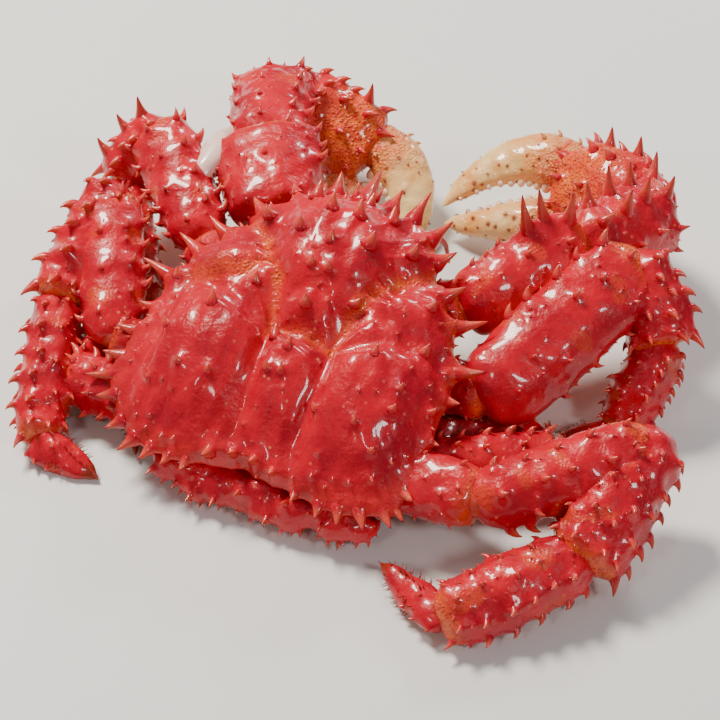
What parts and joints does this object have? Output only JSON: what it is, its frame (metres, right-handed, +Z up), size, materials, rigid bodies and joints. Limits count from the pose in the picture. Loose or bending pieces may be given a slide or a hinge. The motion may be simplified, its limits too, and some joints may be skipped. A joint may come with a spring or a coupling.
{
  "type": "hanasaki crab model",
  "caption": "Life-size still model of a boiled hanasaki crab with a thorny red shell, its legs and claws folded round the body.",
  "frame": {"origin": "on the floor under the middle of the back, on the flat face of the folded tail flap", "axes": "+Y towards the crab's front, +X towards its right side, +Z up"},
  "size_m": [0.2485, 0.2155, 0.0711],
  "materials": {
    "shell": "wet gloss, scarlet",
    "belly": "satin, orange red to cream",
    "claw": "gloss, red palm and ivory fingers",
    "feeler": "satin, dark red",
    "eye": "gloss, black"
  },
  "bodies": {
    "root": {"antenna_base_left": "shell", "antenna_base_right": "shell", "antenna_left": "feeler", "antenna_right": "feeler", "antennule_left": "feeler", "antennule_right": "feeler", "carapace": "shell", "claw_left_carpus": "shell", "claw_left_finger": "claw", "claw_left_fixed_finger": "claw", "claw_left_ischium": "shell", "claw_left_merus": "shell", "claw_left_palm": "claw", "claw_right_carpus": "shell", "claw_right_finger": "claw", "claw_right_fixed_finger": "claw", "claw_right_ischium": "shell", "claw_right_merus": "shell", "claw_right_palm": "claw", "eye_left": "eye", "eye_right": "eye", "eyestalk_left": "feeler", "eyestalk_right": "feeler", "jaw_foot_left": "belly", "jaw_foot_right": "belly", "leg_left_2_carpus": "shell", "leg_left_2_dactylus": "shell", "leg_left_2_ischium": "shell", "leg_left_2_merus": "shell", "leg_left_2_propodus": "shell", "leg_left_3_carpus": "shell", "leg_left_3_dactylus": "shell", "leg_left_3_ischium": "shell", "leg_left_3_merus": "shell", "leg_left_3_propodus": "shell", "leg_left_4_carpus": "shell", "leg_left_4_dactylus": "shell", "leg_left_4_ischium": "shell", "leg_left_4_merus": "shell", "leg_left_4_propodus": "shell", "leg_right_2_carpus": "shell", "leg_right_2_dactylus": "shell", "leg_right_2_ischium": "shell", "leg_right_2_merus": "shell", "leg_right_2_propodus": "shell", "leg_right_3_carpus": "shell", "leg_right_3_dactylus": "shell", "leg_right_3_ischium": "shell", "leg_right_3_merus": "shell", "leg_right_3_propodus": "shell", "leg_right_4_carpus": "shell", "leg_right_4_dactylus": "shell", "leg_right_4_ischium": "shell", "leg_right_4_merus": "shell", "leg_right_4_propodus": "shell", "tail_base": "shell", "tail_flap": "belly", "trunk": "belly"}
  },
  "joints": []
}
